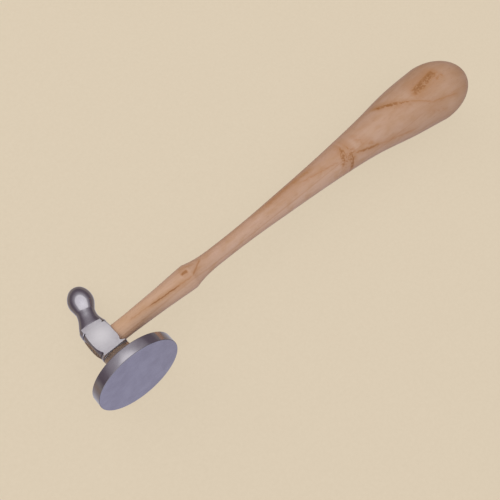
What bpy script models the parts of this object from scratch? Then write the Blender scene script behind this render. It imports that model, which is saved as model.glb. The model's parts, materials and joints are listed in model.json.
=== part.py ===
"""Chasing hammer: a one-piece steel head with a broad flat face, two milled cheeks and a ball peen,
wedged on a turned wooden handle. It lies on a bench, on its face's rim, its ball and its grip."""

import math

import bmesh
import bpy
import numpy as np
from mathutils import Matrix, Vector

MM = 0.001

# The hammer's own frame: X runs along the handle, Y towards the ball, Z square to the cheeks,
# and the origin is where the handle's centre line crosses the head.

# Driving dimensions of the head
FACE_RADIUS = 19.0 * MM
FACE_THICKNESS = 4.9 * MM
FACE_Y = -21.6 * MM
CHEEK_HALF_THICKNESS = 4.2 * MM
BARREL_RADIUS = 6.2 * MM
BEAD_RADIUS = 6.05 * MM
GROOVE_RADIUS = 5.55 * MM
TUCK_RADIUS = 5.5 * MM
LIP_RADIUS = 6.35 * MM
COLLAR_RADIUS = 6.2 * MM
COVE_RADIUS = 5.7 * MM
NECK_RADIUS = 3.9 * MM
FLARE_RADIUS = 5.7 * MM
BALL_RADIUS = 5.5 * MM
BALL_HALF_LENGTH = 6.9 * MM
BALL_Y = 23.3 * MM
EYE_SET_BACK = 2.25 * MM
PEEN_LEAN = 4.0 * MM
CHEEK_TOP_SLOPE = 0.085
HANDLE_SIDE_SQUARENESS = 0.25
NECK_FLATTENING = 0.19
BALL_FLATTENING = 0.05
COLLAR_FLATTENING = 0.45

# Heights along the head, from the lip under the cheeks to where the neck meets the ball
COLLAR_LOW_Y = -11.0 * MM
COLLAR_Y = -7.3 * MM
CHEEK_LOW_Y = -7.05 * MM
LIP_Y = -6.6 * MM
TUCK_Y = -5.2 * MM
BARREL_LOW_Y = -2.6 * MM
BARREL_HIGH_Y = 3.0 * MM
GROOVE_Y = 6.5 * MM
CHEEK_TOP_Y = 8.85 * MM
FLARE_TOP_Y = 17.0 * MM
NECK_TOP_Y = 18.5 * MM
SET_BACK_START_Y, SET_BACK_END_Y = -16.0 * MM, 1.0 * MM
LEAN_START_Y, LEAN_END_Y = 6.0 * MM, 28.0 * MM
NECK_FLAT_START_Y, NECK_FLAT_END_Y = 9.5 * MM, 15.5 * MM
BALL_FLAT_START_Y, BALL_FLAT_END_Y = 17.5 * MM, 21.5 * MM
COLLAR_FLAT_START_Y, COLLAR_FLAT_END_Y = -10.6 * MM, -6.0 * MM
SQUARE_START_Y, SQUARE_FULL_Y, SQUARE_HOLD_Y, SQUARE_END_Y = -12.0 * MM, -7.0 * MM, 5.0 * MM, 8.0 * MM
GROOVE_HALF_WIDTH = 0.5 * MM
EDGE_STEP = 0.1 * MM
RIM_ROUND = 0.35 * MM
FACE_CHAMFER = 0.15 * MM

# Eye and handle
EYE_HALF_HEIGHT = 4.7 * MM
EYE_FAR_HALF_HEIGHT = 5.7 * MM
EYE_ASPECT = 0.56
EYE_NEAR_X = 4.5 * MM
EYE_FAR_X = -8.1 * MM
EYE_CUT_LOW_X, EYE_CUT_HIGH_X = -12.0 * MM, 8.0 * MM
CUTTER_REACH = 20.0 * MM
TENON_GAP = 0.3 * MM
TENON_ASPECT = 0.54
SHAVED_END_X, ROUND_START_X = 3.0 * MM, 24.0 * MM
HANDLE_END_X = 226.9 * MM
SHOULDER_X = 43.4 * MM
GRIP_X = 204.5 * MM
GRIP_RADIUS = 15.9 * MM
DROOP = 4.9 * MM
DROOP_START_X = 140.0 * MM

# Wedges, driven into the tenon from the far side
WEDGE_GAP = 0.3 * MM
WOOD_WEDGE_LENGTH = 8.6 * MM
WOOD_WEDGE_THICKNESS = 1.4 * MM
WOOD_WEDGE_HALF_WIDTH = 4.9 * MM
STEEL_WEDGE_LENGTH = 5.0 * MM
STEEL_WEDGE_THICKNESS = 1.2 * MM
STEEL_WEDGE_HALF_WIDTH = 2.2 * MM
WEDGE_TIP_SHARE = 0.3
WEDGE_TIP_NARROWING = 0.85
KERF_WIDENING = 2.0
CUTTER_OVERHANG = 3.0 * MM

TURN_STEPS = 40


def ease(value, start, end):
    """Rises smoothly from 0 at start to 1 at end."""
    t = min(max((value - start) / (end - start), 0.0), 1.0)
    return t * t * (3.0 - 2.0 * t)


def arc(centre, radii, start_deg, end_deg, count):
    """Points on an ellipse in the profile plane, as (radius, height) pairs."""
    angles = np.radians(np.linspace(start_deg, end_deg, count))
    return [(centre[0] + radii[0] * math.cos(a), centre[1] + radii[1] * math.sin(a)) for a in angles]


def smooth_through(points, count):
    """A smooth curve through a few (position, radius) points, read at evenly spaced positions."""
    xs = np.array([p[0] for p in points])
    ys = np.array([p[1] for p in points])
    slopes = np.gradient(ys, xs)
    result = []
    for x in np.linspace(xs[0], xs[-1], count):
        i = min(int(np.searchsorted(xs, x, side="right")) - 1, len(xs) - 2)
        span = xs[i + 1] - xs[i]
        t = (x - xs[i]) / span
        rise = t * t * (3.0 - 2.0 * t)
        value = ys[i] * (1.0 - rise) + ys[i + 1] * rise
        value += span * t * (1.0 - t) * (slopes[i] * (1.0 - t) - slopes[i + 1] * t)
        result.append((float(x), float(value)))
    return result


# Scene, collections and the hammer's frame

for old in list(bpy.data.objects):
    bpy.data.objects.remove(old, do_unlink=True)

parts = bpy.data.collections.new("chasing_hammer")
cutters = bpy.data.collections.new("cutters")
bpy.context.scene.collection.children.link(parts)
bpy.context.scene.collection.children.link(cutters)

frame = bpy.data.objects.new("hammer_frame", None)
parts.objects.link(frame)


def add_object(name, mesh, collection):
    """Puts a mesh in the scene, in the hammer's frame."""
    obj = bpy.data.objects.new(name, mesh)
    collection.objects.link(obj)
    obj.parent = frame
    if collection is cutters:
        obj.hide_render = True
        obj.display_type = "WIRE"
    return obj


def turned_mesh(name, profile, turn_to_frame):
    """Turns (radius, height) points, given from the top down, and lays the axis along the frame."""
    outline = bpy.data.meshes.new(name + "_outline")
    edges = [(i, i + 1) for i in range(len(profile) - 1)]
    outline.from_pydata([(r, 0.0, z) for r, z in profile], edges, [])
    blank = bpy.data.objects.new(name + "_blank", outline)
    parts.objects.link(blank)
    screw = blank.modifiers.new("turn", "SCREW")
    screw.axis = "Z"
    screw.steps = TURN_STEPS
    screw.render_steps = TURN_STEPS
    screw.use_merge_vertices = True
    screw.merge_threshold = 0.00001
    screw.use_smooth_shade = True
    graph = bpy.context.evaluated_depsgraph_get()
    mesh = bpy.data.meshes.new_from_object(blank.evaluated_get(graph))
    mesh.name = name
    bpy.data.objects.remove(blank, do_unlink=True)
    mesh.transform(turn_to_frame)
    return mesh


def cut(obj, cutter, name):
    """Cuts one solid out of another."""
    boolean = obj.modifiers.new(name, "BOOLEAN")
    boolean.operation = "DIFFERENCE"
    boolean.solver = "EXACT"
    boolean.object = cutter


def finish(obj, colour, roughness, metallic, sharp_angle_deg):
    """Gives a part its material and smooth shading between its sharp edges."""
    material = bpy.data.materials.new(obj.name)
    material.use_nodes = True
    shader = material.node_tree.nodes["Principled BSDF"]
    shader.inputs["Base Color"].default_value = (*colour, 1.0)
    shader.inputs["Roughness"].default_value = roughness
    shader.inputs["Metallic"].default_value = metallic
    obj.data.materials.clear()
    obj.data.materials.append(material)
    obj.data.shade_smooth()
    obj.data.set_sharp_from_angle(angle=math.radians(sharp_angle_deg))


# Head: a turned bar, drawn a little off its line by the forging. The eye block stands back from
# the handle and the ball peen leans towards it.

def head_profile():
    """Radius against height, from the ball's pole down to the middle of the face."""
    neck_angle = math.degrees(math.asin((NECK_TOP_Y - BALL_Y) / BALL_HALF_LENGTH))
    points = arc((0.0, BALL_Y), (BALL_RADIUS, BALL_HALF_LENGTH), 90.0, neck_angle, 14)
    for share in np.linspace(0.0, 1.0, 10):
        y = FLARE_TOP_Y + (CHEEK_TOP_Y - FLARE_TOP_Y) * share
        radius = NECK_RADIUS + (FLARE_RADIUS - NECK_RADIUS) * ease(share ** 1.5, 0.0, 1.0)
        points.append((radius, y))
    points += [(BEAD_RADIUS, CHEEK_TOP_Y - 2.0 * EDGE_STEP), (BEAD_RADIUS, GROOVE_Y + GROOVE_HALF_WIDTH)]
    points += [(GROOVE_RADIUS, GROOVE_Y), (BEAD_RADIUS, GROOVE_Y - GROOVE_HALF_WIDTH)]
    points += [(BARREL_RADIUS, BARREL_HIGH_Y), (BARREL_RADIUS, 0.0), (BARREL_RADIUS - 0.5 * EDGE_STEP, BARREL_LOW_Y)]
    points += [(TUCK_RADIUS, TUCK_Y), (TUCK_RADIUS + 2.0 * EDGE_STEP, (TUCK_Y + LIP_Y) / 2.0)]
    points += [(LIP_RADIUS - EDGE_STEP, LIP_Y + 2.5 * EDGE_STEP), (LIP_RADIUS, LIP_Y)]
    points += [(LIP_RADIUS - EDGE_STEP, LIP_Y - 1.5 * EDGE_STEP)]
    points += [(COLLAR_RADIUS - EDGE_STEP, CHEEK_LOW_Y + EDGE_STEP), (COLLAR_RADIUS, COLLAR_Y)]
    points.append((COLLAR_RADIUS, COLLAR_LOW_Y))
    back_y = FACE_Y + FACE_THICKNESS
    cove_centre = (COLLAR_RADIUS + COVE_RADIUS, back_y + COVE_RADIUS)
    points += arc(cove_centre, (-COVE_RADIUS, -COVE_RADIUS), 0.0, 90.0, 9)[1:]
    points += arc((FACE_RADIUS - RIM_ROUND, back_y - RIM_ROUND), (RIM_ROUND, RIM_ROUND), 90.0, 0.0, 3)
    points += [(FACE_RADIUS, FACE_Y + FACE_CHAMFER), (FACE_RADIUS - FACE_CHAMFER, FACE_Y), (0.0, FACE_Y)]
    return points


def depth_share(y):
    """How much of its turned depth the bar keeps: the peen's neck and the collar are forged flatter."""
    if y > CHEEK_TOP_Y - EDGE_STEP:
        flare = NECK_FLATTENING * (1.0 - ease(y, NECK_FLAT_START_Y, NECK_FLAT_END_Y))
        return 1.0 - flare - BALL_FLATTENING * (1.0 - ease(y, BALL_FLAT_START_Y, BALL_FLAT_END_Y))
    if y < LIP_Y - 2.0 * EDGE_STEP:
        return 1.0 - COLLAR_FLATTENING * ease(y, COLLAR_FLAT_START_Y, COLLAR_FLAT_END_Y)
    return 1.0


head_mesh = turned_mesh("hammer_head", head_profile(), Matrix.Rotation(math.radians(-90.0), 4, "X"))
for vertex in head_mesh.vertices:
    x, y, z = vertex.co
    if x > 0.0:
        square = ease(y, SQUARE_START_Y, SQUARE_FULL_Y) - ease(y, SQUARE_HOLD_Y, SQUARE_END_Y)
        square *= HANDLE_SIDE_SQUARENESS
        x *= 1.0 + square * min(abs(z) / CHEEK_HALF_THICKNESS, 1.0) ** 2
    z *= depth_share(y)
    t = min(max((y - LEAN_START_Y) / (LEAN_END_Y - LEAN_START_Y), 0.0), 1.0)
    lean_slope = PEEN_LEAN * 6.0 * t * (1.0 - t) / (LEAN_END_Y - LEAN_START_Y)
    set_back = EYE_SET_BACK * ease(y, SET_BACK_START_Y, SET_BACK_END_Y)
    lean = PEEN_LEAN * ease(y, LEAN_START_Y, LEAN_END_Y)
    vertex.co = (x - set_back + lean, y - x * lean_slope, z)
head = add_object("hammer_head", head_mesh, parts)


def cheek_cutter(name, side):
    """The space that milling one cheek flat leaves, with its top edge square to the leaning peen."""
    length = CHEEK_TOP_Y - CHEEK_LOW_Y
    block = bmesh.new()
    bmesh.ops.create_cube(block, size=1.0)
    bmesh.ops.scale(block, vec=(2.0 * CUTTER_REACH, length, CUTTER_REACH), verts=block.verts)
    centre_z = side * (CHEEK_HALF_THICKNESS + CUTTER_REACH / 2.0)
    centre = Vector((0.0, CHEEK_TOP_Y - length / 2.0, centre_z))
    bmesh.ops.translate(block, vec=centre, verts=block.verts)
    for vertex in block.verts:
        if vertex.co.y > 0.0:
            vertex.co.y -= (vertex.co.x + EYE_SET_BACK) * CHEEK_TOP_SLOPE
    mesh = bpy.data.meshes.new(name)
    block.to_mesh(mesh)
    block.free()
    return add_object(name, mesh, cutters)


cut(head, cheek_cutter("upper_cheek_cutter", 1.0), "upper_cheek")
cut(head, cheek_cutter("lower_cheek_cutter", -1.0), "lower_cheek")

# The eye is an oval hole, wider on the far side so that the wedged tenon can't pull back through.
eye_slope = (EYE_HALF_HEIGHT - EYE_FAR_HALF_HEIGHT) / (EYE_NEAR_X - EYE_FAR_X)
bpy.ops.mesh.primitive_cone_add(
    vertices=40,
    radius1=EYE_HALF_HEIGHT + eye_slope * (EYE_CUT_LOW_X - EYE_NEAR_X),
    radius2=EYE_HALF_HEIGHT + eye_slope * (EYE_CUT_HIGH_X - EYE_NEAR_X),
    depth=EYE_CUT_HIGH_X - EYE_CUT_LOW_X,
)
eye_cone = bpy.context.active_object
eye_mesh = eye_cone.data
bpy.data.objects.remove(eye_cone, do_unlink=True)
eye_mesh.transform(Matrix.Rotation(math.radians(90.0), 4, "Y"))
eye_mesh.transform(Matrix.Diagonal((1.0, 1.0, EYE_ASPECT, 1.0)))
eye_mesh.transform(Matrix.Translation(((EYE_CUT_LOW_X + EYE_CUT_HIGH_X) / 2.0, 0.0, 0.0)))
cut(head, add_object("eye_cutter", eye_mesh, cutters), "eye")


# Wedges: a wooden one in a saw kerf across the tenon, and a steel one driven across that.

def wedge_mesh(name, half_width, length, thickness, across_z, gap):
    """A wedge flush with the tenon's end, thickest there; gap grows it into its own cutter."""
    block = bmesh.new()
    bmesh.ops.create_cube(block, size=2.0)
    for vertex in block.verts:
        outer = vertex.co.x < 0.0
        taper = 1.0 if outer else WEDGE_TIP_SHARE
        far_out = EYE_FAR_X - (CUTTER_OVERHANG if gap > 0.0 else 0.0)
        x = far_out if outer else EYE_FAR_X + length + gap
        narrow = half_width * (1.0 if outer or across_z else WEDGE_TIP_NARROWING) + gap
        thin = thickness / 2.0 * taper + gap
        if across_z:
            vertex.co = (x, vertex.co.y * thin, vertex.co.z * narrow)
        else:
            vertex.co = (x, vertex.co.y * narrow, vertex.co.z * thin)
    mesh = bpy.data.meshes.new(name)
    block.to_mesh(mesh)
    block.free()
    return mesh


WOOD_WEDGE = (WOOD_WEDGE_HALF_WIDTH, WOOD_WEDGE_LENGTH, WOOD_WEDGE_THICKNESS, False)
STEEL_WEDGE = (STEEL_WEDGE_HALF_WIDTH, STEEL_WEDGE_LENGTH, STEEL_WEDGE_THICKNESS, True)
wood_wedge = add_object("wood_wedge", wedge_mesh("wood_wedge", *WOOD_WEDGE, 0.0), parts)
steel_wedge = add_object("steel_wedge", wedge_mesh("steel_wedge", *STEEL_WEDGE, 0.0), parts)
kerf_mesh = wedge_mesh("kerf_cutter", *WOOD_WEDGE, WEDGE_GAP)
for vertex in kerf_mesh.vertices:
    vertex.co.y *= KERF_WIDENING
kerf = add_object("kerf_cutter", kerf_mesh, cutters)
slit = add_object("slit_cutter", wedge_mesh("slit_cutter", *STEEL_WEDGE, WEDGE_GAP), cutters)
cut(wood_wedge, slit, "slit")


# Handle: turned, with a shoulder below the head, a slender waist and a grip that droops
# towards the face. Its head end is shaved to the oval of the eye.

def handle_profile():
    """Radius against distance along the handle, from the grip's end down to the tenon's end."""
    far = EYE_FAR_HALF_HEIGHT - TENON_GAP
    near = EYE_HALF_HEIGHT - TENON_GAP
    points = [(EYE_FAR_X, 0.0), (EYE_FAR_X, far), (EYE_NEAR_X, near), (12.0 * MM, near)]
    points += [(24.0 * MM, 4.86 * MM), (34.0 * MM, 5.43 * MM), (40.0 * MM, 5.82 * MM)]
    points += [(42.4 * MM, 5.94 * MM)]
    waist = [(SHOULDER_X, 5.94), (46.0 * MM, 5.3), (49.0 * MM, 4.76), (53.5 * MM, 4.35)]
    waist += [(62.0 * MM, 4.22), (80.0 * MM, 4.55), (100.0 * MM, 5.55), (130.0 * MM, 7.4)]
    waist += [(160.0 * MM, 10.25), (184.0 * MM, 13.95), (GRIP_X, GRIP_RADIUS / MM)]
    points += [(x, radius * MM) for x, radius in smooth_through(waist, 34)]
    cap = arc((GRIP_X, 0.0), (HANDLE_END_X - GRIP_X, GRIP_RADIUS), 90.0, 0.0, 14)
    points += cap[1:]
    return [(radius, x) for x, radius in reversed(points)]


handle_mesh = turned_mesh("handle", handle_profile(), Matrix.Rotation(math.radians(90.0), 4, "Y"))
for vertex in handle_mesh.vertices:
    x, y, z = vertex.co
    aspect = TENON_ASPECT + (1.0 - TENON_ASPECT) * ease(x, SHAVED_END_X, ROUND_START_X)
    along_grip = max(x - DROOP_START_X, 0.0) / (HANDLE_END_X - DROOP_START_X)
    vertex.co = (x, y - DROOP * along_grip ** 2, z * aspect)
handle = add_object("handle", handle_mesh, parts)
cut(handle, kerf, "kerf")
cut(handle, slit, "slit")

finish(head, (0.48, 0.46, 0.49), 0.2, 1.0, 30.0)
finish(handle, (0.52, 0.31, 0.19), 0.5, 0.0, 40.0)
finish(wood_wedge, (0.40, 0.22, 0.12), 0.6, 0.0, 30.0)
finish(steel_wedge, (0.30, 0.29, 0.29), 0.4, 1.0, 30.0)


# At rest: the hammer lies on the back edge of its face's rim, its ball and its grip. The bench
# is the plane through the lowest point of each.

def lowest(points, slope_x, slope_y):
    """The point nearest to a bench of the given slopes."""
    return points[np.argmin(points[:, 2] - slope_x * points[:, 0] - slope_y * points[:, 1])]


head_points = np.array([v.co for v in head_mesh.vertices])
handle_points = np.array([v.co for v in handle_mesh.vertices])
rests = [
    head_points[head_points[:, 1] < FACE_Y + FACE_THICKNESS],
    head_points[head_points[:, 1] > NECK_TOP_Y],
    handle_points[handle_points[:, 0] > DROOP_START_X],
]
slope_x, slope_y = 0.0, 0.0
for _ in range(8):
    a, b, c = (lowest(points, slope_x, slope_y) for points in rests)
    normal = np.cross(b - a, c - a)
    slope_x, slope_y = -normal[0] / normal[2], -normal[1] / normal[2]

up = Vector((-slope_x, -slope_y, 1.0)).normalized()
along = (Vector((1.0, 0.0, 0.0)) - up * up.x).normalized()
lying = Matrix((along, up.cross(along), up)).to_4x4()
frame.matrix_world = lying

# The part's origin is under the middle of the lying hammer, on the bench.
laid = np.array([lying @ Vector(p) for p in np.vstack([head_points, handle_points])])
low, high = laid.min(axis=0), laid.max(axis=0)
middle = (low + high) / 2.0
frame.matrix_world = Matrix.Translation((-middle[0], -middle[1], -low[2])) @ lying
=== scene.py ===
# A chasing hammer lying on a pale bench: a polished steel head with a broad flat face, milled
# cheeks and a ball peen, wedged on a slender turned handle of pale hardwood.

import json
import math
from functools import partial

import bmesh
import bpy
import numpy as np
from mathutils import Euler, Matrix, Vector


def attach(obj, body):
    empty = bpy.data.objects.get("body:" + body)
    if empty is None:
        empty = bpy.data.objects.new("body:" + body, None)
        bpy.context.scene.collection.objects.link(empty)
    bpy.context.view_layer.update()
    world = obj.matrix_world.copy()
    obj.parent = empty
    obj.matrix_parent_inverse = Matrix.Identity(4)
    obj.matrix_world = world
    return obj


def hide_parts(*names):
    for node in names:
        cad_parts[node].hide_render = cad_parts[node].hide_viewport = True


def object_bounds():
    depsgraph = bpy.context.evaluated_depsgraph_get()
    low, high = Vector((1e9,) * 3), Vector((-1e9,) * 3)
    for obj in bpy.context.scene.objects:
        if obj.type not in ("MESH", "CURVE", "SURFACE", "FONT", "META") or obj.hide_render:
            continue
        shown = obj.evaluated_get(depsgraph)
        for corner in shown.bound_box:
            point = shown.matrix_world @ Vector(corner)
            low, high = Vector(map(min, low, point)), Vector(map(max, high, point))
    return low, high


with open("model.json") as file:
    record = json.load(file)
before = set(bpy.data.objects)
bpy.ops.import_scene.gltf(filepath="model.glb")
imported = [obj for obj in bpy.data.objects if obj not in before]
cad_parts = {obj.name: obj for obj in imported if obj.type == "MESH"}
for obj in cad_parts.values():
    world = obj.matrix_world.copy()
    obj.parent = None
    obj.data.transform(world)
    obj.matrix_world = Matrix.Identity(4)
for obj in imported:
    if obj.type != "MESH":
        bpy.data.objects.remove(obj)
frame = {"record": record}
cad_low, cad_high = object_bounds()


# Head: one piece of tool steel, turned between centres from the ball down to the broad face,
# then milled flat on both cheeks and pierced by the oval eye. The forging left it a little
# crooked: the eye block stands back from the handle and the ball peen leans towards it.

MM = 0.001
FACE_RADIUS = 19.0 * MM
FACE_THICKNESS = 4.9 * MM
FACE_Y = -21.6 * MM
FACE_CHAMFER = 0.12 * MM
RIM_ROUND = 0.35 * MM
CHEEK_HALF_THICKNESS = 4.2 * MM
CHEEK_TOP_Y = 8.85 * MM
CHEEK_LOW_Y = -7.05 * MM
CHEEK_TOP_SLOPE = 0.085
BARREL_RADIUS = 6.2 * MM
BEAD_RADIUS = 6.05 * MM
GROOVE_Y = 6.5 * MM
GROOVE_HALF_WIDTH = 0.5 * MM
GROOVE_RADIUS = 5.55 * MM
TUCK_Y = -5.2 * MM
TUCK_RADIUS = 5.5 * MM
LIP_Y = -6.6 * MM
LIP_RADIUS = 6.35 * MM
COLLAR_RADIUS = 6.2 * MM
COLLAR_Y = -7.3 * MM
COLLAR_LOW_Y = -11.0 * MM
COVE_RADIUS = 5.7 * MM
NECK_RADIUS = 3.9 * MM
NECK_TOP_Y = 18.5 * MM
NECK_BLEND = 1.8 * MM
FLARE_RADIUS = 5.7 * MM
FLARE_TOP_Y = 17.0 * MM
BALL_RADIUS = 5.5 * MM
BALL_HALF_LENGTH = 6.9 * MM
BALL_Y = 23.3 * MM
EYE_SET_BACK = 2.25 * MM
SET_BACK_START_Y, SET_BACK_END_Y = -16.0 * MM, 1.0 * MM
PEEN_LEAN = 4.0 * MM
LEAN_START_Y, LEAN_END_Y = 6.0 * MM, 28.0 * MM
EDGE_STEP = 0.1 * MM
TURNED_EDGE_ROUND = 0.25 * MM
HANDLE_SIDE_SQUARENESS = 0.25
SQUARE_LOW_Y, ROUND_LOW_Y = -7.0 * MM, -12.0 * MM
SQUARE_TOP_Y, ROUND_TOP_Y = 5.0 * MM, 8.0 * MM
BACK_SIDE_EVENNESS = 0.7
EVEN_TOP_Y = -4.0 * MM
NECK_FLATTENING = 0.19
NECK_FLAT_Y, NECK_ROUND_Y = 9.5 * MM, 15.5 * MM
BALL_FLATTENING = 0.05
BALL_FLAT_Y, BALL_ROUND_Y = 17.5 * MM, 21.5 * MM
COLLAR_FLATTENING = 0.45
COLLAR_FLAT_Y, COLLAR_ROUND_Y = -6.0 * MM, -10.6 * MM
EYE_HALF_HEIGHT = 4.7 * MM
EYE_FAR_HALF_HEIGHT = 5.7 * MM
EYE_ASPECT = 0.56
EYE_NEAR_X = 4.5 * MM
EYE_FAR_X = -8.1 * MM
EYE_CUT_LOW_X, EYE_CUT_HIGH_X = -12.0 * MM, 8.0 * MM
CUTTER_REACH = 20.0 * MM
NEARLY = 0.01 * MM
HEAD_STEPS = 160

# The hammer's own frame: X along the handle, Y from the face to the ball, Z square to the
# cheeks. The striking face's mount says how it lies on the bench.
striking_face = next(m for m in frame["record"]["mounts"] if m["name"] == "striking_face")
ball_way = -Vector(striking_face["axis"]).normalized()
handle_way = Vector((-ball_way.z, 0.0, ball_way.x)).normalized()
cheek_way = handle_way.cross(ball_way)
turn = Matrix((handle_way, ball_way, cheek_way)).transposed()
HAMMER = Matrix.Translation(Vector(striking_face["pos_m"]) - ball_way * FACE_Y) @ turn.to_4x4()


def ease(value, start, end):
    """Rises smoothly from 0 at start to 1 at end."""
    t = min(max((value - start) / (end - start), 0.0), 1.0)
    return t * t * (3.0 - 2.0 * t)


def arc(centre, radii, start_deg, end_deg, count):
    """Points on an ellipse in a profile's plane, as (radius, height) pairs."""
    angles = [math.radians(start_deg + (end_deg - start_deg) * i / (count - 1)) for i in range(count)]
    return [(centre[0] + radii[0] * math.cos(a), centre[1] + radii[1] * math.sin(a)) for a in angles]


def softened(profile, size, count=3):
    """The profile with each sharp corner rounded off over at most the given size."""
    points = [Vector(p) for p in profile]
    result = [points[0]]
    for before, corner, after in zip(points, points[1:], points[2:]):
        back, on = before - corner, after - corner
        if back.angle(-on, 0.0) < math.radians(18.0):
            result.append(corner)
            continue
        start = corner + back.normalized() * min(size, back.length * 0.45)
        end = corner + on.normalized() * min(size, on.length * 0.45)
        for i in range(count + 1):
            t = i / count
            result.append(start.lerp(corner, t).lerp(corner.lerp(end, t), t))
    result.append(points[-1])
    return [tuple(p) for p in result]


def turned(profile, axis, steps):
    """A closed solid turned from (radius, height) points round the hammer frame's X or Y axis."""
    along_x = axis == "X"
    solid = bmesh.new()
    line = [solid.verts.new((h, 0.0, -r) if along_x else (r, h, 0.0)) for r, h in profile]
    for a, b in zip(line, line[1:]):
        solid.edges.new((a, b))
    bmesh.ops.spin(
        solid, geom=solid.verts[:] + solid.edges[:], cent=(0.0, 0.0, 0.0),
        axis=(1.0, 0.0, 0.0) if along_x else (0.0, 1.0, 0.0),
        angle=math.tau, steps=steps, use_merge=True,
    )
    bmesh.ops.remove_doubles(solid, verts=solid.verts, dist=0.002 * MM)
    bmesh.ops.recalc_face_normals(solid, faces=solid.faces)
    return solid


def to_object(name, solid):
    """Puts a bmesh in the scene as an object at the origin, still in the hammer's frame."""
    mesh = bpy.data.meshes.new(name)
    solid.to_mesh(mesh)
    solid.free()
    obj = bpy.data.objects.new(name, mesh)
    bpy.context.scene.collection.objects.link(obj)
    return obj


def carve(obj, *cutters):
    """Cuts the cutters out of an object for good, and removes them."""
    for cutter in cutters:
        boolean = obj.modifiers.new(cutter.name, "BOOLEAN")
        boolean.operation = "DIFFERENCE"
        boolean.solver = "EXACT"
        boolean.object = cutter
    graph = bpy.context.evaluated_depsgraph_get()
    carved = bpy.data.meshes.new_from_object(obj.evaluated_get(graph))
    obj.modifiers.clear()
    obj.data = carved
    for cutter in cutters:
        bpy.data.objects.remove(cutter, do_unlink=True)


def lay_on_bench(obj, sharp_deg):
    """Turns a finished mesh from the hammer's frame into place, smooth between sharp edges."""
    obj.data.transform(HAMMER)
    obj.data.shade_smooth()
    obj.data.set_sharp_from_angle(angle=math.radians(sharp_deg))


# The barrel's outline as (radius, height), from the peen down: a bead, a groove and a bead, the
# round side, the tuck, the lip and the collar.
BARREL = [
    (BEAD_RADIUS, CHEEK_TOP_Y - 2.0 * EDGE_STEP), (BEAD_RADIUS, GROOVE_Y + GROOVE_HALF_WIDTH),
    (GROOVE_RADIUS, GROOVE_Y), (BEAD_RADIUS, GROOVE_Y - GROOVE_HALF_WIDTH),
    (BARREL_RADIUS, 3.0 * MM), (BARREL_RADIUS, 0.0), (BARREL_RADIUS - 0.05 * MM, -2.6 * MM),
    (BARREL_RADIUS - 0.3 * MM, -4.1 * MM), (TUCK_RADIUS, TUCK_Y), (TUCK_RADIUS + 0.2 * MM, -5.8 * MM),
    (LIP_RADIUS - EDGE_STEP, LIP_Y + 0.25 * MM), (LIP_RADIUS, LIP_Y),
    (LIP_RADIUS - EDGE_STEP, LIP_Y - 0.15 * MM), (COLLAR_RADIUS - EDGE_STEP, -6.95 * MM),
    (COLLAR_RADIUS, COLLAR_Y), (COLLAR_RADIUS, COLLAR_LOW_Y),
]


def head_profile():
    """Radius against height, from the ball's pole down to the middle of the face."""
    blend_y = NECK_TOP_Y + NECK_BLEND
    blend_deg = math.degrees(math.asin((blend_y - BALL_Y) / BALL_HALF_LENGTH))
    ball = arc((0.0, BALL_Y), (BALL_RADIUS, BALL_HALF_LENGTH), 90.0, blend_deg, 40)
    start, end = Vector(ball[-1]), Vector((NECK_RADIUS, FLARE_TOP_Y))
    way = start - Vector(ball[-2])
    corner = start + way * ((NECK_RADIUS - start.x) / way.x)
    blend = []
    for i in range(1, 12):
        t = i / 12
        blend.append(tuple(start.lerp(corner, t).lerp(corner.lerp(end, t), t)))
    flare = []
    for i in range(24):
        share = i / 23
        radius = NECK_RADIUS + (FLARE_RADIUS - NECK_RADIUS) * ease(share ** 1.5, 0.0, 1.0)
        flare.append((radius, FLARE_TOP_Y + (CHEEK_TOP_Y - FLARE_TOP_Y) * share))
    back_y = FACE_Y + FACE_THICKNESS
    cove = arc((COLLAR_RADIUS + COVE_RADIUS, back_y + COVE_RADIUS), (-COVE_RADIUS, -COVE_RADIUS), 0, 90, 28)
    disc = arc((FACE_RADIUS - RIM_ROUND, back_y - RIM_ROUND), (RIM_ROUND, RIM_ROUND), 90.0, 0.0, 6)
    disc += [(FACE_RADIUS, FACE_Y + FACE_CHAMFER), (FACE_RADIUS - FACE_CHAMFER, FACE_Y), (0.0, FACE_Y)]
    return ball + blend + flare + softened(BARREL, TURNED_EDGE_ROUND) + cove[1:] + disc


def barrel_radius(y):
    """The turned radius at a height on the barrel."""
    return float(np.interp(-y, [-h for r, h in BARREL], [r for r, h in BARREL]))


def centre_x(y):
    """How far the forging drew the bar's middle back from the handle, or towards it, at a height."""
    set_back = EYE_SET_BACK * ease(y, SET_BACK_START_Y, SET_BACK_END_Y)
    return PEEN_LEAN * ease(y, LEAN_START_Y, LEAN_END_Y) - set_back


def depth_share(y):
    """How much of its turned depth the bar keeps: the peen's neck and the collar are forged flatter."""
    if y > CHEEK_TOP_Y - EDGE_STEP:
        flare = NECK_FLATTENING * (1.0 - ease(y, NECK_FLAT_Y, NECK_ROUND_Y))
        return 1.0 - flare - BALL_FLATTENING * (1.0 - ease(y, BALL_FLAT_Y, BALL_ROUND_Y))
    if y < LIP_Y - 2.0 * EDGE_STEP:
        return 1.0 - COLLAR_FLATTENING * (1.0 - ease(y, COLLAR_FLAT_Y, COLLAR_ROUND_Y))
    return 1.0


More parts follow.
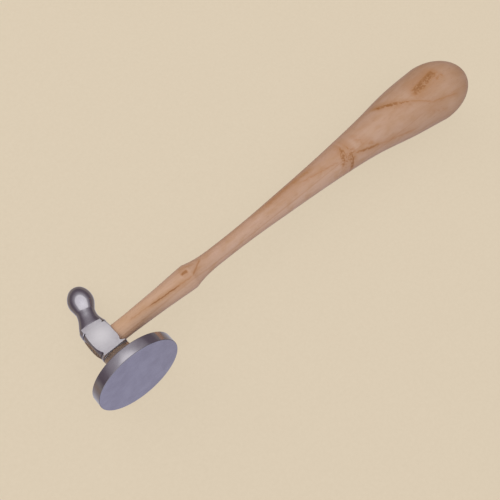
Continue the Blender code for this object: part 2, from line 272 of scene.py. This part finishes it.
# The turned shape is then made uneven as the forging was: squarer beside the handle, straighter
# across the back of the lip, leaning at the peen and flatter at the neck and the collar.
head_solid = turned(head_profile(), "Y", HEAD_STEPS)
for vertex in head_solid.verts:
    x, y, z = vertex.co
    if x > 0.0:
        square = ease(y, ROUND_TOP_Y, SQUARE_TOP_Y) * ease(y, ROUND_LOW_Y, SQUARE_LOW_Y)
        x *= 1.0 + HANDLE_SIDE_SQUARENESS * square * min(abs(z) / CHEEK_HALF_THICKNESS, 1.0) ** 2
    elif COLLAR_Y < y < EVEN_TOP_Y:
        even_radius = COLLAR_RADIUS - 2.0 * EDGE_STEP
        x *= 1.0 + BACK_SIDE_EVENNESS * (even_radius - barrel_radius(y)) / BARREL_RADIUS
    t = min(max((y - LEAN_START_Y) / (LEAN_END_Y - LEAN_START_Y), 0.0), 1.0)
    lean_slope = PEEN_LEAN * 6.0 * t * (1.0 - t) / (LEAN_END_Y - LEAN_START_Y)
    vertex.co = (x + centre_x(y), y - x * lean_slope, z * depth_share(y))
head = to_object("hammer_head_steel", head_solid)


def cheek_cutter(side):
    """The space that milling one cheek flat leaves, its top edge square to the leaning peen."""
    length = CHEEK_TOP_Y - CHEEK_LOW_Y
    block = bmesh.new()
    bmesh.ops.create_cube(block, size=1.0)
    bmesh.ops.scale(block, vec=(2.0 * CUTTER_REACH, length, CUTTER_REACH), verts=block.verts)
    centre_z = side * (CHEEK_HALF_THICKNESS + CUTTER_REACH / 2.0)
    centre = Vector((0.0, CHEEK_LOW_Y + length / 2.0, centre_z))
    bmesh.ops.translate(block, vec=centre, verts=block.verts)
    for vertex in block.verts:
        if vertex.co.y > 0.0:
            vertex.co.y -= (vertex.co.x + EYE_SET_BACK) * CHEEK_TOP_SLOPE
    return to_object("cheek_cutter", block)


def eye_cutter():
    """The oval taper of the eye, wider on the far side, longer than the head is thick."""
    slope = (EYE_HALF_HEIGHT - EYE_FAR_HALF_HEIGHT) / (EYE_NEAR_X - EYE_FAR_X)
    cone = bmesh.new()
    bmesh.ops.create_cone(
        cone, cap_ends=True, segments=96, depth=EYE_CUT_HIGH_X - EYE_CUT_LOW_X,
        radius1=EYE_HALF_HEIGHT + slope * (EYE_CUT_LOW_X - EYE_NEAR_X),
        radius2=EYE_HALF_HEIGHT + slope * (EYE_CUT_HIGH_X - EYE_NEAR_X),
    )
    bmesh.ops.rotate(cone, matrix=Matrix.Rotation(math.radians(90.0), 3, "Y"), verts=cone.verts)
    bmesh.ops.scale(cone, vec=(1.0, 1.0, EYE_ASPECT), verts=cone.verts)
    middle_x = (EYE_CUT_LOW_X + EYE_CUT_HIGH_X) / 2.0
    bmesh.ops.translate(cone, vec=(middle_x, 0.0, 0.0), verts=cone.verts)
    return to_object("eye_cutter", cone)


carve(head, cheek_cutter(1.0), cheek_cutter(-1.0), eye_cutter())

POLISHED, MILLED, GROUND = 0, 1, 2
for polygon in head.data.polygons:
    on_cheek = abs(abs(polygon.center.z) - CHEEK_HALF_THICKNESS) < NEARLY
    if abs(polygon.normal.z) > 0.999 and on_cheek:
        polygon.material_index = MILLED
    elif polygon.normal.y < -0.999 and abs(polygon.center.y - FACE_Y) < NEARLY:
        polygon.material_index = GROUND
    else:
        polygon.material_index = POLISHED
lay_on_bench(head, sharp_deg=28.0)


def linear(hex_colour):
    """An sRGB hex colour as the linear RGBA that sockets take."""
    parts = [int(hex_colour[i:i + 2], 16) / 255.0 for i in (1, 3, 5)]
    return tuple(c / 12.92 if c <= 0.04045 else ((c + 0.055) / 1.055) ** 2.4 for c in parts) + (1.0,)


def add_node(tree, kind, inputs=(), stops=(), **properties):
    """Adds a node and sets or links its inputs; a node given as an input stands for its output."""
    node = tree.nodes.new("ShaderNode" + kind)
    for name, value in properties.items():
        setattr(node, name, value)
    for i, (position, colour) in enumerate(stops):
        element = node.color_ramp.elements[i] if i < 2 else node.color_ramp.elements.new(position)
        element.position, element.color = position, colour
    for name, value in inputs.items() if isinstance(inputs, dict) else enumerate(inputs):
        if isinstance(value, bpy.types.Node):
            value = next(output for output in value.outputs if output.enabled)
        if isinstance(value, bpy.types.NodeSocket):
            tree.links.new(value, node.inputs[name])
        else:
            node.inputs[name].default_value = value
    return node


def new_material(name):
    """An empty node material, its node adder, and a vector in millimetres in the hammer's frame."""
    material = bpy.data.materials.new(name)
    material.use_nodes = True
    material.node_tree.nodes.clear()
    node = partial(add_node, material.node_tree)
    to_hammer = HAMMER.inverted()
    place = node("Mapping", {
        "Vector": node("TexCoord").outputs["Object"],
        "Location": to_hammer.translation / MM,
        "Rotation": to_hammer.to_euler(),
        "Scale": (1.0 / MM,) * 3,
    })
    return material, node, place


# The soft edge and the roughness of the painted bands of shade and reflection.
PAINTED_BAND_EDGE_MM = 0.2
PAINTED_BAND_ROUGHNESS = 0.5


def steel(
    name, light, dark, roughness, spread, grain, grain_mm, cloud_mm, bump_mm, painted_highlight=None, painted_bands=()
):
    """Bare steel: soft clouds in its tone and a directional grain left by how it was cut. It can have a
    painted highlight that lightens a middle (hex, x, y, reach) and painted bands of shade and reflection
    (hex, y, half width, strength), in mm."""
    material, node, place = new_material(name)
    clouds = node("TexNoise", {"Vector": place, "Scale": 1.0 / cloud_mm, "Detail": 3.0, "Roughness": 0.55})
    stretched = node("Mapping", {"Vector": place, "Scale": grain})
    lines = node(
        "TexNoise", {"Vector": stretched, "Scale": 1.0 / grain_mm, "Detail": 2.0, "Roughness": 0.6}
    )
    tone = node("MapRange", [clouds, 0.35, 0.65])
    colour = node("Mix", {0: tone, 6: linear(dark), 7: linear(light)}, data_type="RGBA")
    both = node("Math", [clouds, lines], operation="ADD")
    gloss = node("MapRange", [both, 0.7, 1.3, roughness - spread, roughness + spread])
    # A painted highlight: the colour is lightened towards a point and fades out over a reach.
    if painted_highlight:
        highlight_hex, x_mm, y_mm, reach_mm = painted_highlight
        flat = node("Mapping", {"Vector": place, "Scale": (1.0, 1.0, 0.0)})
        away = node("VectorMath", [flat, (x_mm, y_mm, 0.0)], operation="DISTANCE")
        near = node("MapRange", [away, 0.0, reach_mm, 1.0, 0.0], interpolation_type="SMOOTHSTEP")
        colour = node("Mix", {0: near, 6: colour, 7: linear(highlight_hex)}, data_type="RGBA")
    height = node("SeparateXYZ", [place]).outputs["Y"]
    # Each band paints its colour in across a height: painted shade in the creases and notches, a painted
    # reflection on the collar.
    for painted_hex, y_mm, half_mm, strength in painted_bands:
        away = node("Math", [node("Math", [height, y_mm], operation="SUBTRACT")], operation="ABSOLUTE")
        near = node(
            "MapRange", [away, half_mm - PAINTED_BAND_EDGE_MM, half_mm, strength, 0.0],
            interpolation_type="SMOOTHSTEP",
        )
        colour = node("Mix", {0: near, 6: colour, 7: linear(painted_hex)}, data_type="RGBA")
        gloss = node("Mix", {0: near, 2: gloss, 3: PAINTED_BAND_ROUGHNESS})
    bump = node("Bump", {"Strength": 1.0, "Distance": bump_mm * MM, "Height": lines})
    shader = node(
        "BsdfPrincipled", {"Metallic": 1.0, "Base Color": colour, "Roughness": gloss, "Normal": bump}
    )
    node("OutputMaterial", {"Surface": shader})
    return material


# Polished tool steel mirrors the room, with a breath of lathe marks round the axis. Painted shade
# darkens the groove, the tuck, the crease under the lip and the face's chamfer, and a painted tan
# reflection of the bench lies on the collar under the lip.
head.data.materials.append(steel(
    "polished_tool_steel", "#CBC8CC", "#BDB9BF", roughness=0.13, spread=0.04,
    grain=(0.15, 1.0, 0.15), grain_mm=0.5, cloud_mm=4.0, bump_mm=0.0015,
    painted_bands=[
        # Painted bands, in order: the bench's tan reflection on the collar; painted shade under the lip, in
        # the tuck, in the groove and along the face's chamfer.
        ("#DFC8A8", -8.5, 1.6, 0.85), ("#2C2628", -7.1, 0.24, 0.85),
        ("#4A4246", -5.4, 0.5, 0.7), ("#3A3236", 6.5, 0.5, 0.85), ("#3A3236", -21.6, 0.25, 0.7),
    ],
))
# Milled tool steel is satin and a little mottled, with a painted highlight that lightens the middle
# of the cheek, and fine cutter marks across the cheek.
head.data.materials.append(steel(
    "milled_tool_steel", "#D2D0D2", "#C4C0C3", roughness=0.36, spread=0.06,
    grain=(0.2, 1.0, 1.0), grain_mm=0.6, cloud_mm=2.5, bump_mm=0.004,
    painted_highlight=("#ECEAEA", -1.7, 1.6, 8.5),
))
# The striking face is surface ground, then dulled by use: an even grey with faint smudges.
head.data.materials.append(steel(
    "ground_tool_steel", "#C4C2CA", "#B9B6BE", roughness=0.24, spread=0.02,
    grain=(0.3, 1.0, 1.0), grain_mm=0.8, cloud_mm=6.0, bump_mm=0.0005,
))
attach(head, "root")
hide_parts("hammer_head")


# Handle: pale fruitwood turned from one straight-grained billet, sanded and thinly lacquered.
# Below its shoulder a slender waist swells into a bulb that fills the palm and droops towards the
# face. The head end is a tenon, shaved oval to fit the eye and sawn for its wedges.

HANDLE_END_X = 226.9 * MM
SHOULDER_X = 43.4 * MM
GRIP_X = 204.5 * MM
GRIP_RADIUS = 15.9 * MM
DROOP = 4.9 * MM
DROOP_START_X = 140.0 * MM
TENON_FIT = 0.05 * MM
TENON_ASPECT = EYE_ASPECT - 0.005
SHAVED_END_X, ROUND_START_X = 3.0 * MM, 24.0 * MM
END_GRAIN_REACH = 2.0 * MM
HANDLE_STEPS = 112


def smooth_through(points, count):
    """A smooth curve through a few (position, radius) points, read at evenly spaced positions."""
    xs = np.array([p[0] for p in points])
    ys = np.array([p[1] for p in points])
    slopes = np.gradient(ys, xs)
    result = []
    for x in np.linspace(xs[0], xs[-1], count):
        i = min(int(np.searchsorted(xs, x, side="right")) - 1, len(xs) - 2)
        span = xs[i + 1] - xs[i]
        t = (x - xs[i]) / span
        rise = t * t * (3.0 - 2.0 * t)
        value = ys[i] * (1.0 - rise) + ys[i + 1] * rise
        value += span * t * (1.0 - t) * (slopes[i] * (1.0 - t) - slopes[i + 1] * t)
        result.append((float(value) * MM, float(x) * MM))
    return result


def handle_profile():
    """Radius against distance along the handle, from the tenon's end to the grip's end."""
    far, near = EYE_FAR_HALF_HEIGHT - TENON_FIT, EYE_HALF_HEIGHT - TENON_FIT
    end_rings = [(far * i / 12, EYE_FAR_X) for i in range(12)]
    neck = [(4.5, near / MM), (12.0, near / MM), (24.0, 4.86), (34.0, 5.43), (40.0, 5.82), (42.4, 5.94)]
    tenon = [(far, EYE_FAR_X)] + smooth_through(neck, 60)
    waist = [(SHOULDER_X / MM, 5.94), (46.0, 5.3), (49.0, 4.76), (53.5, 4.35), (62.0, 4.22), (80.0, 4.55)]
    waist += [(100.0, 5.55), (130.0, 7.4), (160.0, 10.25), (184.0, 13.95), (GRIP_X / MM, GRIP_RADIUS / MM)]
    grip = arc((0.0, GRIP_X), (GRIP_RADIUS, HANDLE_END_X - GRIP_X), 0.0, 90.0, 40)
    return end_rings + tenon + smooth_through(waist, 200) + grip[1:]


def barrel_side_x(y, z):
    """Where the barrel's round side stands, at a height and a depth in the eye."""
    return centre_x(y) - math.sqrt(max(barrel_radius(y) ** 2 - z * z, 0.0))


handle_solid = turned(handle_profile(), "X", HANDLE_STEPS)
for vertex in handle_solid.verts:
    x, y, z = vertex.co
    z *= TENON_ASPECT + (1.0 - TENON_ASPECT) * ease(x, SHAVED_END_X, ROUND_START_X)
    along_grip = max(x - DROOP_START_X, 0.0) / (HANDLE_END_X - DROOP_START_X)
    if x < EYE_FAR_X + NEARLY:
        x = barrel_side_x(y, z)
    vertex.co = (x, y - DROOP * along_grip ** 2, z)
handle = to_object("turned_handle", handle_solid)

# The saw kerf in the tenon and the slit across it have the shapes of the wedges that fill them.
WEDGE_FIT = 0.06 * MM
WOOD_WEDGE_LENGTH = 8.6 * MM
WOOD_WEDGE_THICKNESS = 1.4 * MM
WOOD_WEDGE_HALF_WIDTH = EYE_FAR_HALF_HEIGHT - 0.8 * MM
STEEL_WEDGE_LENGTH = 5.0 * MM
STEEL_WEDGE_THICKNESS = 1.2 * MM
STEEL_WEDGE_HALF_WIDTH = 2.2 * MM
WEDGE_TIP_SHARE = 0.3
WEDGE_EDGE_SHARE = 0.03
KERF_OVERHANG = 3.0 * MM


def wedge(name, length, thickness, half_width, stands_across, fit=0.0):
    """A wedge, thickest at the tenon's end and flush there; fit grows it into its own cutter."""
    block = bmesh.new()
    bmesh.ops.create_cube(block, size=2.0)
    bmesh.ops.subdivide_edges(block, edges=block.edges, cuts=7, use_grid_fill=True)
    if not fit:
        corners = [e for e in block.edges if e.is_manifold and e.calc_face_angle() > 1.0]
        bmesh.ops.bevel(
            block, geom=corners, offset=2.0 * WEDGE_EDGE_SHARE, segments=2, profile=0.5,
            affect="EDGES", material=-1,
        )
    for vertex in block.verts:
        inward = (vertex.co.x + 1.0) / 2.0
        thin = (thickness / 2.0) * (1.0 - inward * (1.0 - WEDGE_TIP_SHARE)) + fit
        wide = half_width + fit
        y, z = (thin, wide) if stands_across else (wide, thin)
        y, z = vertex.co.y * y, vertex.co.z * z
        outer = barrel_side_x(y, z) - (KERF_OVERHANG if fit else 0.0)
        vertex.co = (outer + (EYE_FAR_X + length + fit - outer) * inward, y, z)
    return to_object(name, block)


WOOD_WEDGE = (WOOD_WEDGE_LENGTH, WOOD_WEDGE_THICKNESS, WOOD_WEDGE_HALF_WIDTH, False)
STEEL_WEDGE = (STEEL_WEDGE_LENGTH, STEEL_WEDGE_THICKNESS, STEEL_WEDGE_HALF_WIDTH, True)
carve(handle, wedge("kerf_cutter", *WOOD_WEDGE, WEDGE_FIT), wedge("slit_cutter", *STEEL_WEDGE, WEDGE_FIT))

LONG_GRAIN, END_GRAIN = 0, 1
for polygon in handle.data.polygons:
    at_end = polygon.center.x < EYE_FAR_X + END_GRAIN_REACH and polygon.normal.x < -0.5
    polygon.material_index = END_GRAIN if at_end else LONG_GRAIN
lay_on_bench(handle, sharp_deg=40.0)


# The billet's own figure, as streaks on the handle's skin: distance along the handle and round
# it from the top, half length, slope, half width (mm), strength, and how broken up it is.
FIGURE = [
    (28.5, -2.5, 11.0, -0.085, 0.5, 1.0, 0.0),
    (17.0, -1.3, 9.0, -0.12, 0.6, 0.5, 0.3),
    (39.0, -3.3, 6.0, -0.08, 0.6, 0.6, 0.2),
    (47.0, -1.3, 5.0, 0.6, 0.8, 0.7, 0.0),
    (44.0, 1.6, 5.0, -0.25, 0.8, 0.35, 0.3),
    (41.2, -0.3, 2.2, 0.0, 1.2, 0.9, 0.1),
    (102.0, 2.3, 15.0, 0.05, 2.2, 0.5, 0.25),
    (109.0, 2.2, 15.0, -0.02, 1.2, 0.6, 0.6),
    (122.0, -2.6, 15.0, -0.2, 0.8, 0.6, 0.4),
    (137.0, -3.3, 2.8, 1.4, 4.2, 1.0, 0.55),
    (139.9, -9.0, 2.4, 3.0, 6.8, 1.0, 0.55),
    (138.5, -6.5, 7.0, 0.3, 5.0, 0.85, 0.8),
    (150.8, -5.3, 5.5, -0.9, 2.4, 0.6, 0.8),
    (150.5, -9.3, 9.5, -0.33, 1.1, 0.9, 0.25),
    (166.0, -14.7, 18.0, -0.345, 1.2, 0.55, 0.3),
    (172.5, 1.2, 7.5, -0.64, 2.1, 1.0, 0.4),
    (178.0, -2.4, 5.5, -0.6, 1.1, 0.9, 0.6),
    (186.6, -8.0, 7.0, -0.72, 0.7, 0.6, 0.0),
    (199.0, -14.0, 11.0, -0.26, 0.8, 0.55, 0.1),
    (195.0, -1.2, 12.5, 0.17, 4.0, 1.0, 0.45),
    (197.5, -0.4, 7.0, 0.2, 1.6, 1.0, 0.3),
    (203.0, -3.5, 3.4, 0.0, 1.3, 0.7, 0.5),
    (194.0, -17.4, 8.0, -0.37, 2.2, 0.4, 0.8),
]


def figure_stains(node, x, round_mm, blotch):
    """How strongly the figure stains the wood at each point, from 0 to 1. A mark is a core that the
    blotches break up, in a paler halo, and it fades out towards its ends."""
    wobble = node("Math", [blotch, 0.5], operation="SUBTRACT")
    stains = 0.0
    for x_mm, round_at, half_length, slope, half_width, strength, broken in FIGURE:
        dx = node("Math", [x, x_mm], operation="SUBTRACT")
        middle = node("Math", [dx, slope, round_at], operation="MULTIPLY_ADD")
        across = node("Math", [round_mm, middle], operation="SUBTRACT")
        across = node("Math", [wobble, 1.2 + 5.0 * broken, across], operation="MULTIPLY_ADD")
        across = node("Math", [across], operation="ABSOLUTE")
        core = node(
            "MapRange", [across, half_width * 0.2, half_width, strength, 0.0],
            interpolation_type="SMOOTHSTEP",
        )
        spots = node(
            "MapRange", [blotch, 0.3 + 0.12 * broken, 0.5 + 0.12 * broken, 1.0 - broken, 1.0],
            interpolation_type="SMOOTHSTEP",
        )
        core = node("Math", [core, spots], operation="MULTIPLY")
        halo = node(
            "MapRange", [across, 0.0, 2.4 * half_width + 0.8, 0.48 * strength, 0.0],
            interpolation_type="SMOOTHSTEP",
        )
        along = node("Math", [dx], operation="ABSOLUTE")
        within = node(
            "MapRange", [along, half_length * 0.5, half_length, 1.0, 0.0],
            interpolation_type="SMOOTHSTEP",
        )
        mark = node("Math", [core, halo], operation="MAXIMUM")
        mark = node("Math", [mark, within], operation="MULTIPLY")
        stains = node("Math", [stains, mark], operation="MAXIMUM")
    return stains


# The sizes of the wood's own patterns across the grain, in mm. Real pores are finer, and these are
# drawn as coarse as they need to show.
PORE_MM = 0.45
STREAK_MM = 0.8
BLOTCH_MM = 1.6
MOTTLE_MM = 3.5
BROAD_BAND_MM = 5.0
GROWTH_LINE_MM = 6.2
WANDER_MM = 9.0


def pale_fruitwood(name):
    """Sanded fruitwood: pinkish tan long grain, orange growth lines and darker mineral stains."""
    material, node, place = new_material(name)
    x, y, z = node("SeparateXYZ", [place]).outputs
    # The figure follows the grip's droop, so the droop is taken off again.
    past = node("Math", [x, DROOP_START_X / MM], operation="SUBTRACT")
    past = node("Math", [past, 0.0], operation="MAXIMUM")
    sag = node("Math", [past, past], operation="MULTIPLY")
    y = node("Math", [sag, DROOP * MM / (HANDLE_END_X - DROOP_START_X) ** 2, y], operation="MULTIPLY_ADD")
    angle = node("Math", [y, z], operation="ARCTAN2")
    radius = node("VectorMath", [node("CombineXYZ", [0.0, y, z])], operation="LENGTH")
    round_mm = node("Math", [angle, radius], operation="MULTIPLY")

    # Each pattern is drawn out along the grain, the fibres most.
    fibre = node("CombineXYZ", [node("Math", [x, 0.06], operation="MULTIPLY"), y, z])
    patchy = node("CombineXYZ", [node("Math", [x, 0.5], operation="MULTIPLY"), y, z])
    pitted = node("CombineXYZ", [node("Math", [x, 0.18], operation="MULTIPLY"), y, z])
    blotch = node("TexNoise", {"Vector": place, "Scale": 1.0 / BLOTCH_MM, "Detail": 4.0, "Roughness": 0.65})
    broad = node("TexNoise", {"Vector": fibre, "Scale": 1.0 / BROAD_BAND_MM})
    mottle = node("TexNoise", {"Vector": patchy, "Scale": 1.0 / MOTTLE_MM, "Detail": 3.0})
    streaks = node("TexNoise", {"Vector": fibre, "Scale": 1.0 / STREAK_MM, "Detail": 4.0, "Roughness": 0.6})
    wander = node("TexNoise", {"Vector": fibre, "Scale": 1.0 / WANDER_MM})
    pores = node("TexNoise", {"Vector": pitted, "Scale": 1.0 / PORE_MM, "Detail": 1.0})

    # The billet's growth layers lie aslant, and show as lines where the turned skin cuts them.
    layer = node("Math", [z, 0.35, y], operation="MULTIPLY_ADD")
    layer = node("Math", [wander, 5.0, layer], operation="MULTIPLY_ADD")
    ring = node("Math", [layer, GROWTH_LINE_MM / 2.0], operation="PINGPONG")
    ring = node("MapRange", [ring, 0.0, 0.35, 0.4, 0.0], interpolation_type="SMOOTHSTEP")
    shown = node("MapRange", [wander, 0.4, 0.7], interpolation_type="SMOOTHSTEP")
    stains = figure_stains(node, x, round_mm, blotch)

    colour = linear("#B58E70")
    for hex_colour, amount in (
        ("#BF9D84", node("MapRange", [broad, 0.35, 0.65, 0.0, 0.7])),
        ("#C4A493", node("MapRange", [mottle, 0.52, 0.7, 0.0, 0.25])),
        ("#AD8259", node("MapRange", [mottle, 0.48, 0.3, 0.0, 0.5])),
        # Painted light: the wood is paler near the head, to make up for the head's shade there. The next
        # colour darkens it towards the bulb.
        ("#D2AA84", node("MapRange", [x, 10.0, 55.0, 0.5, 0.0])),
        ("#A0784E", node("MapRange", [x, 130.0, 215.0, 0.0, 0.4])),
        ("#A27A5A", node("MapRange", [streaks, 0.5, 0.72, 0.0, 0.25])),
        ("#A37043", node("Math", [ring, shown], operation="MULTIPLY")),
        ("#A26B30", stains),
        ("#7C4E22", node("MapRange", [stains, 0.6, 1.0, 0.0, 0.5])),
        ("#8A5C40", node("MapRange", [pores, 0.66, 0.78, 0.0, 0.35])),
    ):
        colour = node("Mix", {0: amount, 6: colour, 7: linear(hex_colour)}, data_type="RGBA")

    height = node("Math", [pores, -0.6, streaks], operation="MULTIPLY_ADD")
    bump = node("Bump", {"Strength": 1.0, "Distance": 0.02 * MM, "Height": height})
    gloss = node("MapRange", [streaks, 0.3, 0.7, 0.42, 0.56])
    shader = node("BsdfPrincipled", {
        "Base Color": colour, "Roughness": gloss, "Normal": bump,
        "Coat Weight": 0.15, "Coat Roughness": 0.35,
        "Sheen Weight": 0.1, "Sheen Roughness": 0.4, "Sheen Tint": linear("#D5DCF2"),
    })
    node("OutputMaterial", {"Surface": shader})
    return material


# A wave texture's bands stand this far apart at a scale of 1.
WAVE_BAND = math.tau / 20.0
END_RING_MM = 0.98
END_PORE_MM = 0.4


def end_grain(name, pale, dark):
    """Sawn end grain: dark pores and close curved rings across the cut."""
    material, node, place = new_material(name)
    rings = node(
        "TexWave", {"Vector": place, "Scale": WAVE_BAND / END_RING_MM, "Distortion": 1.5, "Detail": 2.0},
        bands_direction="Y",
    ).outputs["Fac"]
    pores = node("TexNoise", {"Vector": place, "Scale": 1.0 / END_PORE_MM})
    both = node("Math", [rings, 0.5, pores], operation="MULTIPLY_ADD")
    depth = node("MapRange", [both, 0.4, 1.0])
    colour = node("Mix", {0: depth, 6: linear(dark), 7: linear(pale)}, data_type="RGBA")
    bump = node("Bump", {"Strength": 1.0, "Distance": 0.06 * MM, "Height": both})
    shader = node("BsdfPrincipled", {"Base Color": colour, "Roughness": 0.68, "Normal": bump})
    node("OutputMaterial", {"Surface": shader})
    return material


# Long grain under thin satin lacquer: soft gloss, pinkish tan, orange lines where growth rings
# run out. The tenon's end is the same wood cut square, darker where it drank oil.
handle.data.materials.append(pale_fruitwood("lacquered_fruitwood"))
handle.data.materials.append(end_grain("fruitwood_end_grain", "#93795F", "#5C4A3A"))
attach(handle, "root")
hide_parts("handle")


# Wedges: a sawn hardwood wedge driven into the kerf that splits the tenon, and a small mild steel
# one driven across it. Both were filed flush with the round back of the head.

wood_wedge = wedge("kerf_wedge", *WOOD_WEDGE)
steel_wedge = wedge("cross_wedge", *STEEL_WEDGE)
carve(wood_wedge, wedge("slit_cutter", *STEEL_WEDGE, WEDGE_FIT))
lay_on_bench(wood_wedge, sharp_deg=40.0)
lay_on_bench(steel_wedge, sharp_deg=40.0)

# The kerf wedge is a darker, denser hardwood, sawn and left bare.
wood_wedge.data.materials.append(end_grain("sawn_hardwood", "#8E6342", "#56371F"))
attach(wood_wedge, "root")
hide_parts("wood_wedge")

# The cross wedge is mild steel, bruised by the hammer that drove it and dulled by handling.
steel_wedge.data.materials.append(steel(
    "hammered_mild_steel", "#A7A4A4", "#6F6A68", roughness=0.42, spread=0.1,
    grain=(1.0, 1.0, 1.0), grain_mm=0.5, cloud_mm=0.9, bump_mm=0.05,
))
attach(steel_wedge, "root")
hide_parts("steel_wedge")


# Bench: a wide pale sheet that sweeps up far away all round, evenly lit so that shadows stay
# faint. Only the camera sees it; the steel mirrors the room instead.

SHEET_RADIUS = 2.4
SWEEP_RADIUS = 1.2
sheet = bmesh.new()
sweep = [(0.0, 0.0), (0.3, 0.0), (0.8, 0.0)]
sweep += arc((SHEET_RADIUS, SWEEP_RADIUS), (SWEEP_RADIUS, SWEEP_RADIUS), -90.0, 0.0, 12)
sweep.append((SHEET_RADIUS + SWEEP_RADIUS, 3.0 * SWEEP_RADIUS))
outline = [sheet.verts.new((r, 0.0, h)) for r, h in sweep]
for a, b in zip(outline, outline[1:]):
    sheet.edges.new((a, b))
bmesh.ops.spin(
    sheet, geom=sheet.verts[:] + sheet.edges[:], cent=(0.0, 0.0, 0.0), axis=(0.0, 0.0, 1.0),
    angle=math.tau, steps=64, use_merge=True,
)
bmesh.ops.remove_doubles(sheet, verts=sheet.verts, dist=0.1 * MM)
bmesh.ops.recalc_face_normals(sheet, faces=sheet.faces)
bmesh.ops.reverse_faces(sheet, faces=sheet.faces)
bench = to_object("bench_sheet", sheet)
bench.data.shade_smooth()
bench.visible_glossy = False
bench.visible_diffuse = False
bench.visible_shadow = False

# Matt cream card with a faint fleck of its pulp. It mostly glows by itself, as a sheet lit evenly
# from all round does, and takes only the faintest shade.
FLECK_MM = 1.4
paper, node, place = new_material("matt_cream_card")
fleck = node("TexNoise", {"Vector": place, "Scale": 1.0 / FLECK_MM})
card = node("Mix", {0: fleck, 6: linear("#D7C8B0"), 7: linear("#DDCEB6")}, data_type="RGBA")
glow = node("Emission", {"Color": card, "Strength": 1.02})
matt = node("BsdfDiffuse", {"Color": card})
node("OutputMaterial", {"Surface": node("MixShader", [0.12, glow, matt])})
bench.data.materials.append(paper)


# Studio: a white ceiling that glows evenly, a tall soft window on the face's side, and dim
# violet-grey walls elsewhere, with a bluish bench below.

room = bpy.data.worlds.new("studio")
bpy.context.scene.world = room
room.use_nodes = True
room.node_tree.nodes.clear()
node = partial(add_node, room.node_tree)
way = node("TexCoord").outputs["Generated"]
height = node("SeparateXYZ", [way]).outputs["Z"]
share = node("MapRange", [height, -1.0, 1.0])


def level(sine, red, green, blue):
    """A ramp stop at the sine of an elevation."""
    return ((sine + 1.0) / 2.0, (red, green, blue, 1.0))


walls = node("ValToRGB", [share], stops=[
    level(-1.0, 0.55, 0.54, 0.60), level(-0.87, 0.45, 0.43, 0.46), level(-0.67, 0.32, 0.28, 0.28),
    level(-0.5, 0.29, 0.22, 0.18), level(-0.33, 0.28, 0.25, 0.24), level(-0.1, 0.15, 0.12, 0.14),
    level(0.2, 0.17, 0.14, 0.165), level(0.35, 0.28, 0.25, 0.28), level(0.5, 0.38, 0.35, 0.38),
    level(0.61, 0.52, 0.50, 0.53), level(0.70, 1.0, 0.98, 1.0), level(1.0, 1.1, 1.08, 1.12),
])
window = node("ValToRGB", [share], stops=[
    level(-1.0, 0.50, 0.48, 0.58), level(-0.75, 0.42, 0.41, 0.54), level(-0.40, 0.45, 0.45, 0.55),
    level(-0.25, 0.6, 0.6, 0.66), level(-0.15, 1.0, 0.98, 1.02), level(1.0, 1.15, 1.13, 1.16),
])
window_heading = math.radians(-115.0)
window_way = (math.cos(window_heading), math.sin(window_heading), 0.0)
facing = node("VectorMath", [way, window_way], operation="DOT_PRODUCT")
side = node("MapRange", [facing, 0.42, 0.56], interpolation_type="SMOOTHSTEP")
light = node("Mix", {0: side, 6: walls, 7: window}, data_type="RGBA")
node("OutputWorld", {"Surface": node("Background", {"Color": light})})

softbox = bpy.data.objects.new("softbox", bpy.data.lights.new("softbox", "AREA"))
softbox.data.shape = "RECTANGLE"
softbox.data.size, softbox.data.size_y = 1.2, 0.9
softbox.data.energy = 6.0
softbox.location = (-0.3, 0.95, 0.65)
softbox.rotation_euler = (-softbox.location).to_track_quat("-Z", "Y").to_euler()
softbox.visible_glossy = False
softbox.visible_camera = False
bpy.context.scene.collection.objects.link(softbox)


# Camera: high over the bench and a little to the face's side, rolled so that the handle runs
# up to the right.

VIEW = Euler((math.radians(19.4207), math.radians(-9.7898), math.radians(-41.7411)))
VIEW_DISTANCE = 0.26667
camera = bpy.data.objects.new("camera", bpy.data.cameras.new("camera"))
camera.data.lens = 43.2
camera.data.sensor_width = 36.0
camera.data.clip_start = 0.01
aim = (cad_low + cad_high) / 2.0 + Vector((-33.2, -9.74, 0.0)) * MM
camera.location = aim + VIEW.to_matrix() @ Vector((0.0, 0.0, VIEW_DISTANCE))
camera.rotation_euler = VIEW
bpy.context.scene.collection.objects.link(camera)
bpy.context.scene.camera = camera
bpy.context.scene.view_settings.view_transform = "Standard"
